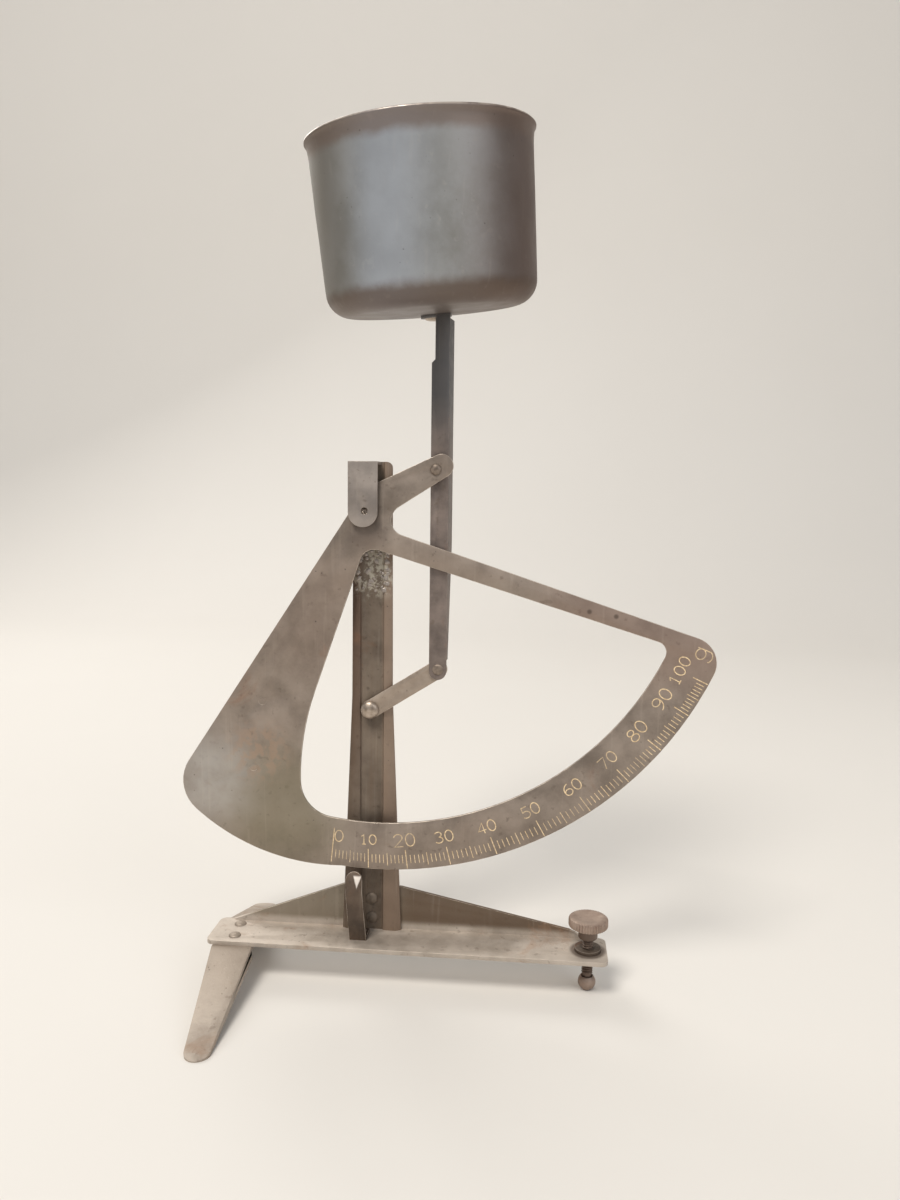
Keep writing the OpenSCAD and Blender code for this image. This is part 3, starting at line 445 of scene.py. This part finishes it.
# Sheet parts are merged copies of the CAD nodes with rounded, rubbed edges
sheets = [   # node, piece, body, finish, slot, edge radius in millimetres, steps
    ("quadrant_plate", "quadrantSheet", "quadrant", "quadrant", "worn_steel", 0.16, 2),
    ("counterweight", "lobeWeight", "quadrant", "weight", "dark_steel", 0.5, 3),
    ("knife_edge", "knifeEdge", "quadrant", "rivet", "bright_steel", 0.04, 1),
    ("rod", "cupRod", "pan", "rod", "worn_steel", 0.16, 2),
    ("lower_link", "lowerLink", "link", "link", "worn_steel", 0.14, 2),
    ("top_strap", "stirrup", "stand", "strap", "worn_steel", 0.25, 3),
    ("column", "pressedColumn", "stand", "column", "dark_steel", 0.22, 3),
    ("base_bar", "baseBar", "stand", "bar", "dark_steel", 0.25, 3),
    ("cross_legs", "crossLegs", "stand", "legs", "dark_steel", 0.35, 3),
    ("index_pointer", "indexStrip", "stand", "index", "worn_steel", 0.15, 2),
    ("levelling_bush", "screwBush", "stand", "bush", "bright_steel", 0.12, 2),
]
for node, name, body, look, slotName, radius, steps in sheets:
    bm = merged(node)
    softEdges(bm, radius, steps)
    piece = asPiece(bm, name, body, finish[look], [node])
    print(name, len(piece.data.polygons), "faces")


def cupSkin(form, inset):   # half section of the cup from the hole to the lip
    flat = form["footR"] - form["corner"]
    radii = [form["hole"] + (flat - form["hole"]) * i / 8 for i in range(9)]
    floor = [(radius, form["dome"] * (radius / flat) ** 2 + inset) for radius in radii]
    middle = (flat, form["dome"] + form["corner"])
    turn = [math.radians(8 + 82 * i / 9) for i in range(10)]
    bend = form["corner"] - inset
    corner = [(middle[0] + bend * math.sin(a), middle[1] - bend * math.cos(a)) for a in turn]
    bottom, top = corner[-1], (form["mouthR"] - inset, form["height"] - form["flare"])
    wall = [(bottom[0] + (top[0] - bottom[0]) * i / 12, bottom[1] + (top[1] - bottom[1]) * i / 12)
            for i in range(1, 13)]
    reach = form["lipR"] - form["mouthR"]
    flare = [(top[0] + reach * (i / 6) ** 2, top[1] + form["flare"] * i / 6) for i in range(1, 6)]
    return floor + corner + wall + flare


def makeCup(form):
    outer, inner = cupSkin(form, 0), cupSkin(form, form["wall"])
    rim = (form["lipR"] - form["wall"] / 2, form["height"])
    bead = [(rim[0] + form["bead"] * math.cos(a), rim[1] + form["bead"] * math.sin(a))
            for a in (math.radians(-50 + 280 * i / 10) for i in range(11))]
    bm = spun(outer + bead + inner[::-1] + [outer[0]], form["steps"], Matrix.Identity(4))
    wear = bm.faces.layers.float.new("wear")
    for face in bm.faces:
        face[wear] = float(face.calc_center_median().z > (form["height"] + 0.1) * mm)
    for vert in bm.verts:   # the wall is not quite true, and the lip waves a little
        radius = math.hypot(vert.co.x, vert.co.y)
        if radius > form["trueR"] * mm:
            wave = noise.noise(Vector((vert.co.x, vert.co.y, vert.co.z * 0.7)) * form["dentLumps"])
            small = noise.noise(vert.co * form["rippleLumps"] + Vector((7, 3, 1)))
            pull = (wave - 0.4) * form["dent"] * mm + small * form["ripple"] * mm
            vert.co.xy *= 1 + pull / radius
            share = (vert.co.z / (form["height"] * mm)) ** 3
            vert.co.z += noise.noise(vert.co * form["swayLumps"]) * form["sway"] * mm * share
    bmesh.ops.transform(bm, matrix=cupFrame, verts=bm.verts)
    return asPiece(bm, "spunCup", "pan", finish["cup"], ["cup"], 50)


makeCup(cupForm)
print("cup spun")


def rivetForm(d, grip, headD, headH, tailH):
    tail = [(radius, grip + height) for radius, height in dome(headD / 2, tailH)]
    head = [(radius, -height) for radius, height in dome(headD / 2, headH)]
    return tail + [(d / 2, grip), (d / 2, 0)] + head[::-1]


hammer = {"depth": 0.03, "lumps": 900}


def hammered(bm, form, seed):   # light facets from the hammer
    for vert in bm.verts:
        push = noise.noise(vert.co * form["lumps"] + Vector((seed, 0, 0)))
        vert.co += vert.normal * push * form["depth"] * mm
    return bm


def backward(*spot):   # frame of a rivet whose head faces the reader
    return Matrix.Translation(at(*spot)) @ facingBack


barTop = -117.4
armX, armZ = 18.7233, 11.9281      # where the arm carries the rod
linkX, linkZ = 19.6233, -41.6719   # where the link holds the rod
studX, studZ = 0.9, -53.6          # where the column carries the link
legRow = Matrix.Rotation(math.radians(5), 3, "Z") @ Vector((0, 3.5 * mm, 0))
legPlaces = [Matrix.Translation(at(-36.1, -1.15, -119.8) + legRow * side) for side in (-1, 1)]
columnPlaces = [backward(1.3, 4.0, barTop + height) for height in (3.4, 9)]
indexPlace = Matrix.Translation(at(-1.3, 0.8, -118.6))
cupPlace = cupFrame @ Matrix.Translation((0, 0, -0.8 * mm))
# Sizes of a rivet: shank, grip, head, height of the head, height of the tail
rivets = [   # piece, body, node, finish, slot, places, sizes, steps, seed
    ("upperPivot", "quadrant", "upper_pivot_rivet", "pivot", "bright_steel",
     [backward(armX, 0, armZ)], (1.8, 2.7, 3.0, 0.8, 0.8), 40, 0),
    ("lowerPivot", "pan", "lower_pivot_rivet", "pivot", "bright_steel",
     [backward(linkX, 1.4, linkZ)], (1.8, 2.2, 3.0, 0.45, 0.8), 40, 1),
    ("linkStud", "stand", "link_stud", "rivet", "bright_steel",
     [backward(studX, 2.3, studZ)], (2.4, 2.6, 5.0, 1.3, 0.8), 40, 2),
    ("stirrupRivet", "stand", "strap_rivet", "dark", "bright_steel",
     [backward(1.3, 4.0, 8.0)], (2.0, 1.7, 3.4, 0.8, 0.8), 40, 3),
    ("columnRivets", "stand", "column_rivets", "dark", "dark_steel",
     columnPlaces, (2.0, 1.9, 3.4, 0.8, 0.8), 36, 11),
    ("legRivets", "stand", "base_rivets", "legs", "bright_steel",
     legPlaces, (2.0, 2.4, 3.4, 0.8, 0.8), 36, 12),
    ("indexRivet", "stand", "index_rivet", "rivet", "bright_steel",
     [indexPlace], (2.0, 2.0, 3.4, 0.8, 0.8), 36, 13),
    ("cupRivet", "pan", "cup_rivet", "rivet", "bright_steel",
     [cupPlace], (2.4, 2.0, 5.0, 0.8, 1.3), 40, 14),
]
for name, body, node, look, slotName, places, sizes, steps, seed in rivets:
    bm = gathered([spun(rivetForm(*sizes), steps, place) for place in places])
    asPiece(hammered(bm, hammer, seed), name, body, finish[look], [node], 60)


def ringForm(outer, bore, thick):
    soft = min(0.12, thick / 3)
    return [(bore / 2, 0), (outer / 2 - soft, 0), (outer / 2, soft), (outer / 2, thick - soft),
            (outer / 2 - soft, thick), (bore / 2, thick), (bore / 2, 0)]


cupFloor = cupFrame @ Matrix.Translation((0, 0, 0.532 * mm))
rings = [   # piece, body, node, [(place, thickness)], diameter, bore
    ("upperWashers", "quadrant", "upper_washers",
     [(backward(armX, 0.8, armZ), 0.4), (backward(armX, 2.3, armZ), 0.4)], 4.0, 1.8),
    ("lowerWasher", "pan", "lower_washer", [(backward(linkX, 3.2, linkZ), 0.4)], 4.0, 1.8),
    ("studSpacer", "stand", "stud_washer", [(backward(studX, 3.3, studZ), 0.7)], 5.1, 2.4),
    ("cupWasher", "pan", "cup_washer", [(cupFloor, 0.4)], 9.0, 2.4),
]
for name, body, node, places, outer, bore in rings:
    bm = gathered([spun(ringForm(outer, bore, thick), 40, place) for place, thick in places])
    asPiece(bm, name, body, finish["rivet"], [node], 40)

# The counterweight's flush rivets keep their own mesh and take the quadrant's look
flushLooks = frame["nodes"]["weight_rivets"].data.materials
flushLooks.clear()
flushLooks.append(finish["quadrant"])
print("rivets and washers made")


# Levelling screw with a knurled head and a cut thread, and its ball foot
screw = {
    "axis": (61.8, -1.6), "headD": 10.7, "headT": 2.5, "headTop": -108.0,
    "rim": [(0.5, 0), (0.15, 0.13), (0, 0.45)],   # inwards from the edge, inwards from the face
    "dish": [(1.6, 0), (1.9, 0.12)], "knurls": 40, "knurl": 0.3, "knurlWide": 0.6,
    "collarD": 5.2, "collarL": 3.3, "chamfer": 0.3, "threadD": 3.0, "rootD": 2.3, "pitch": 0.7,
    "crest": (0.42, 0.58), "perTurn": 28, "tip": -126.45, "tipL": 3, "tipMore": 0.1, "bare": 2.4,
    "sunk": 0.6,
    "footD": 4.8, "footH": 3.8, "footFlat": 2.2, "socket": 2.0, "slack": 0.05, "table": -128.3,
}


def knurledHead(form):   # a spun disc whose rim is notched, with a shallow dish on top
    edge, top = form["headD"] / 2, form["headT"]
    lower = [(edge - inwards, height) for inwards, height in form["rim"]]
    upper = [(radius, top - height) for radius, height in lower[::-1]]
    dish = [(edge - inwards, top - depth) for inwards, depth in form["dish"]]
    profile = [(0, 0)] + lower + upper + dish + [(0, dish[-1][1])]
    count = form["knurls"] * 4
    bm = spun(profile, count, Matrix.Identity(4))
    for vert in bm.verts:
        radius = math.hypot(vert.co.x, vert.co.y) / mm
        if radius > edge - form["knurlWide"]:
            turn = round(math.atan2(vert.co.y, vert.co.x) / (2 * math.pi) * count) % 4
            share = (radius - edge + form["knurlWide"]) / form["knurlWide"]
            deep = form["knurl"] * (0, 0.5, 1, 0.5)[turn] * share
            vert.co.xy *= 1 - deep / radius
    return bm


def thread(form, low, high):
    bm = bmesh.new()
    pitch, root, crest = form["pitch"], form["rootD"] / 2, form["threadD"] / 2
    cut = [(root, 0)] + [(crest, share * pitch) for share in form["crest"]] + [(root, pitch)]
    points = [bm.verts.new((r * mm, 0, h * mm)) for r, h in cut]
    edges = [bm.edges.new(pair) for pair in zip(points, points[1:])]
    turns = math.ceil((high - low) / pitch) - 1
    bmesh.ops.spin(bm, geom=points + edges, cent=(0, 0, 0), axis=(0, 0, 1), angle=2 * math.pi * turns,
                   dvec=(0, 0, pitch / form["perTurn"] * mm), steps=form["perTurn"] * turns)
    bmesh.ops.remove_doubles(bm, verts=bm.verts, dist=5e-6)
    bmesh.ops.holes_fill(bm, edges=[e for e in bm.edges if e.is_boundary])
    bmesh.ops.triangulate(bm, faces=[f for f in bm.faces if len(f.verts) > 4])
    bmesh.ops.recalc_face_normals(bm, faces=bm.faces)
    bmesh.ops.translate(bm, verts=bm.verts, vec=(0, 0, low * mm))
    return bm


def makeScrew(form):
    under, cut = form["headTop"] - form["headT"], form["chamfer"]
    bm = knurledHead(form)
    bmesh.ops.translate(bm, verts=bm.verts, vec=(0, 0, under * mm))
    collar, low = form["collarD"] / 2, under - form["collarL"]
    join(bm, spun([(0, low), (collar - cut, low), (collar, low + cut), (collar, under + cut),
                   (0, under + cut)], 48, Matrix.Identity(4)))
    join(bm, thread(form, form["tip"] + form["bare"], low + form["sunk"]))
    root, tip, top = form["rootD"] / 2 + form["tipMore"], form["tip"], form["tip"] + form["tipL"]
    join(bm, spun([(0, tip), (root - cut, tip), (root, tip + cut), (root, top), (0, top)],
                  32, Matrix.Identity(4)))
    bmesh.ops.translate(bm, verts=bm.verts, vec=at(form["axis"][0], form["axis"][1], 0))
    return asPiece(bm, "levellingScrew", "levelling_screw_body", finish["knob"],
                   ["levelling_screw"], 34)


def makeFoot(form):
    ball, flat = form["footD"] / 2, form["footFlat"] / 2
    centre = math.sqrt(ball * ball - flat * flat)
    top = math.sqrt(ball * ball - (form["footH"] - centre) ** 2)
    start, end = math.asin(flat / ball), math.pi - math.asin(top / ball)
    turns = [start + (end - start) * i / 14 for i in range(15)]
    skin = [(ball * math.sin(turn), centre - ball * math.cos(turn)) for turn in turns]
    bore, high = form["threadD"] / 2 + form["slack"], form["footH"]
    profile = [(0, 0)] + skin + [(bore + 0.06, high), (bore, high - 0.1), (bore, high - form["socket"]),
                                 (0, high - form["socket"])]
    bm = spun(profile, 48, Matrix.Translation(at(form["axis"][0], form["axis"][1], form["table"])))
    return asPiece(bm, "ballFoot", "levelling_foot_body", finish["foot"],
                   ["levelling_foot"], 40)


makeScrew(screw)
makeFoot(screw)
print("levelling screw made")


# Scale: ticks and figures as shallow filled strokes. Radii count from the middle of the band,
# and the bearings of the ten gram marks from the knife edge
scale = {
    "middle": (3.66, -0.78), "edge": 97,
    "bearings": [-5.6, 0.6, 7.0, 14.05, 21.7, 29.8, 38.0, 45.5, 52.4, 59.1, 64.6],
    "oneGram": (92.9, 95.2), "fiveGram": (92.4, 95.9), "tenGram": (91.5, 96.8), "zero": (86.8, 96.6),
    "line": 0.11, "tenLine": 0.14, "figureR": 88.9, "figureLine": 0.16, "wide": 1.28, "gap": 0.87,
    "heights": [3.4, 2.9, 3.8, 3.3, 3.3, 3.3, 3.3, 3.3, 3.7, 3.7, 3.2],
    "letterR": 92.6, "letterA": 68.5, "letterH": 4.8, "proud": 0.05, "drift": 1.3, "zeroShift": 0.95,
}


def arcPoints(x, y, rx, ry, start, end):
    count = max(6, int(abs(end - start) / 15))
    turn = [math.radians(start + (end - start) * i / count) for i in range(count + 1)]
    return [(x + rx * math.cos(a), y + ry * math.sin(a)) for a in turn]


figureHalf = 0.3
figureStrokes = {   # strokes in a box twice that wide and 1 high
    "0": [arcPoints(0.3, 0.5, 0.26, 0.47, 90, 450)],
    "1": [[(0.14, 0.78), (0.32, 0.96), (0.32, 0.03)], [(0.18, 0.03), (0.46, 0.03)]],
    "2": [arcPoints(0.3, 0.7, 0.24, 0.26, 170, -35) + [(0.06, 0.03), (0.55, 0.03)]],
    "3": [arcPoints(0.28, 0.74, 0.22, 0.22, 150, -80) + arcPoints(0.28, 0.27, 0.26, 0.25, 80, -150)],
    "4": [[(0.42, 0.03), (0.42, 0.96), (0.04, 0.3), (0.57, 0.3)]],
    "5": [[(0.5, 0.96), (0.15, 0.96), (0.11, 0.55)] + arcPoints(0.28, 0.31, 0.27, 0.28, 125, -150)],
    "6": [arcPoints(0.5, 0.42, 0.45, 0.55, 95, 190) + arcPoints(0.3, 0.29, 0.24, 0.26, 180, 540)],
    "7": [[(0.05, 0.95), (0.55, 0.95), (0.22, 0.03)]],
    "8": [arcPoints(0.3, 0.74, 0.2, 0.21, 90, 450), arcPoints(0.3, 0.27, 0.25, 0.25, 90, 450)],
    "9": [arcPoints(0.1, 0.58, 0.45, 0.55, -85, 10) + arcPoints(0.3, 0.71, 0.24, 0.26, 0, 360)],
    "g": [arcPoints(0.28, 0.66, 0.23, 0.27, 90, 450),
          [(0.51, 0.93), (0.51, 0.3)] + arcPoints(0.27, 0.24, 0.24, 0.24, 0, -160)],
}


def addStroke(curve, points, radius):
    spline = curve.splines.new("POLY")
    spline.points.add(len(points) - 1)
    for point, spot in zip(spline.points, points):
        point.co = (spot.x, spot.y, spot.z, 1)
        point.radius = radius


# Where a bearing from the knife edge meets a circle about the band's middle
def onBand(form, bearing, radius):
    out, middle = ray(bearing), Vector((form["middle"][0], 0, form["middle"][1]))
    along = out.dot(middle)
    return at(*(out * (along + math.sqrt(radius * radius - middle.dot(middle) + along * along))))


def makeScale(form):
    curve = bpy.data.curves.new("scaleStrokes", "CURVE")
    curve.dimensions = "3D"
    curve.bevel_depth = mm
    curve.bevel_resolution = 1
    curve.use_fill_caps = True
    bearings = form["bearings"]
    for gram in range(101):
        low = min(gram // 10, 9)
        bearing = bearings[low] + (bearings[low + 1] - bearings[low]) * (gram - 10 * low) / 10
        ends = form["zero"] if gram == 0 else form["tenGram"] if gram % 10 == 0 else \
            form["fiveGram"] if gram % 5 == 0 else form["oneGram"]
        radii = [min(radius + form["drift"] * gram / 100, form["edge"]) for radius in ends]
        addStroke(curve, [onBand(form, bearing, radius) for radius in radii],
                  form["tenLine"] if gram % 10 == 0 else form["line"])
    marks = [(str(10 * i), bearing, form["figureR"], height)
             for i, (bearing, height) in enumerate(zip(bearings, form["heights"]))]
    marks[0] = ("0", bearings[0] + form["zeroShift"], form["figureR"], form["heights"][0])
    marks.append(("g", form["letterA"], form["letterR"], form["letterH"]))
    for word, bearing, radius, height in marks:
        middle, out, along = onBand(form, bearing, radius), ray(bearing), ray(bearing + 90)
        pitch = form["gap"] * height
        start = -(len(word) - 1) / 2 * pitch - figureHalf * form["wide"] * height
        for i, letter in enumerate(word):
            for stroke in figureStrokes[letter]:
                points = [middle + out * (0.5 - v) * height * mm
                          + along * (start + i * pitch + u * form["wide"] * height) * mm
                          for u, v in stroke]
                addStroke(curve, points, form["figureLine"])
    holder = bpy.data.objects.new("scaleStrokes", curve)
    bpy.context.scene.collection.objects.link(holder)
    mesh = holder.evaluated_get(bpy.context.evaluated_depsgraph_get()).to_mesh()
    bm = bmesh.new()
    bm.from_mesh(mesh)
    bpy.data.objects.remove(holder)
    bpy.data.curves.remove(curve)
    for vert in bm.verts:   # flattened, so that each stroke stands a hair proud of the sheet
        vert.co.y = hub.y + (vert.co.y - hub.y) * form["proud"] / form["figureLine"]
    bmesh.ops.recalc_face_normals(bm, faces=bm.faces)
    return asPiece(bm, "scaleMarks", "quadrant", finish["scale"], (), 60)


makeScale(scale)
print("scale drawn")


# Crust of old corrosion on the column
crust = {
    "centre": (1.4, 3.3, -15.5), "reach": (4.4, 5.5), "count": 46, "size": (0.25, 0.75), "flat": 0.35,
    "seed": 5, "grooveX": 1.3, "grooveHalf": 2.9, "grooveDeep": 0.7, "lumps": 2200,
}


def makeCrust(form):
    bm = bmesh.new()
    draw = random.Random(form["seed"])
    for i in range(form["count"]):
        a, b = draw.uniform(-1, 1), draw.uniform(-1, 1)
        size = draw.uniform(*form["size"])
        x, z = form["centre"][0] + a * form["reach"][0], form["centre"][2] + b * form["reach"][1]
        inGroove = abs(x - form["grooveX"]) < form["grooveHalf"]
        y = form["centre"][1] + (form["grooveDeep"] if inGroove else 0)
        made = bmesh.ops.create_icosphere(bm, subdivisions=2, radius=size * mm)
        for vert in made["verts"]:
            vert.co *= 1 + 0.5 * noise.noise(vert.co * form["lumps"] + Vector((i, 0, 0)))
            vert.co.y *= form["flat"]
        bmesh.ops.translate(bm, verts=made["verts"], vec=at(x, y, z))
    return asPiece(bm, "columnCrust", "stand", finish["strap"], (), 60)


makeCrust(crust)
print("crust made")


# Floor that bends up into a wall behind the balance
stage = {   # metres, and the blotches of the floor in millimetres
    "floor": tone(226, 222, 216, 1), "dusk": tone(214, 209, 202, 1), "blotch": 180, "share": 0.25,
    "half": 3.0, "wall": 1.1, "bend": 0.5, "steps": 16,
}


def makeStage(form):
    bm = bmesh.new()
    bend, steps = form["bend"], form["steps"]
    line = [(-form["half"], 0)] + [(form["wall"] - bend + bend * math.sin(a), bend - bend * math.cos(a))
                                   for a in (math.radians(90 * i / steps) for i in range(steps + 1))]
    line.append((form["wall"], form["half"]))
    left = [bm.verts.new((-form["half"], y, z)) for y, z in line]
    edges = [bm.edges.new(pair) for pair in zip(left, left[1:])]
    swept = bmesh.ops.extrude_edge_only(bm, edges=edges)
    bmesh.ops.translate(bm, verts=[v for v in swept["geom"] if isinstance(v, bmesh.types.BMVert)],
                        vec=(2 * form["half"], 0, 0))
    bmesh.ops.recalc_face_normals(bm, faces=bm.faces)
    mesh = bpy.data.meshes.new("floor")
    bm.to_mesh(mesh)
    bm.free()
    for face in mesh.polygons:
        face.use_smooth = True
    floor = bpy.data.objects.new("floor", mesh)
    bpy.context.scene.collection.objects.link(floor)
    paint = Paint("paleFloor")
    grain = paint.noise(form["blotch"], 3)
    colour = paint.mix(grain * form["share"], form["floor"], form["dusk"])
    mesh.materials.append(paint.shade(colour, 0.7, 0.0, grain, 0.01))


def lamp(name, spot, aim, size, watts, colour):
    light = bpy.data.lights.new(name, "AREA")
    light.size = size
    light.energy = watts
    light.color = colour
    holder = bpy.data.objects.new(name, light)
    holder.location = spot
    holder.rotation_mode = "QUATERNION"
    holder.rotation_quaternion = (Vector(aim) - Vector(spot)).to_track_quat("-Z", "Y")
    bpy.context.scene.collection.objects.link(holder)


makeStage(stage)
lamps = [   # name, place, aim, size, watts, colour
    ("keyLamp", (-0.5, -1.0, 1.8), (0, 0, 0.1), 0.7, 33, (1.0, 0.96, 0.9)),
    ("fillLamp", (0.75, -0.6, 0.5), (0, 0, 0.1), 0.7, 2.5, (0.95, 0.97, 1.0)),
    ("backLamp", (-0.5, 0.6, 0.7), (0, 0, 0.12), 0.5, 2.9, (1.0, 0.98, 0.95)),
]
for settings in lamps:
    lamp(*settings)

sky = {"Color": (0.92, 0.95, 1.0, 1.0), "Strength": 0.3}
world = bpy.data.worlds.new("softRoom")
world.use_nodes = True
for key, value in sky.items():
    world.node_tree.nodes["Background"].inputs[key].default_value = value
bpy.context.scene.world = world
print("floor and lamps placed")

view = {   # a pinhole; the focal length is in pixels of a picture of that height
    "focal": 937.7, "frameHeight": 1200, "yaw": 5.371, "pitch": 6.713, "roll": 0.701,
    "from": (46.06, -246.69, 6.74),
}


def makeCamera(form):
    yaw, pitch, roll = (math.radians(form[key]) for key in ("yaw", "pitch", "roll"))
    forward = Vector((-math.sin(yaw) * math.cos(pitch), math.cos(yaw) * math.cos(pitch),
                      -math.sin(pitch)))
    side = Vector((math.cos(yaw), math.sin(yaw), 0))
    over = side.cross(forward)
    right = side * math.cos(roll) + over * math.sin(roll)
    up = over * math.cos(roll) - side * math.sin(roll)
    data = bpy.data.cameras.new("camera")
    data.sensor_width = 36
    data.lens = form["focal"] / form["frameHeight"] * data.sensor_width
    data.clip_start, data.clip_end = 0.01, 30
    camera = bpy.data.objects.new("camera", data)
    turn = Matrix((right, up, -forward)).transposed().to_4x4()
    camera.matrix_world = Matrix.Translation(at(*form["from"])) @ turn
    bpy.context.scene.collection.objects.link(camera)
    bpy.context.scene.camera = camera


makeCamera(view)
bpy.context.scene.view_settings.view_transform = "Standard"
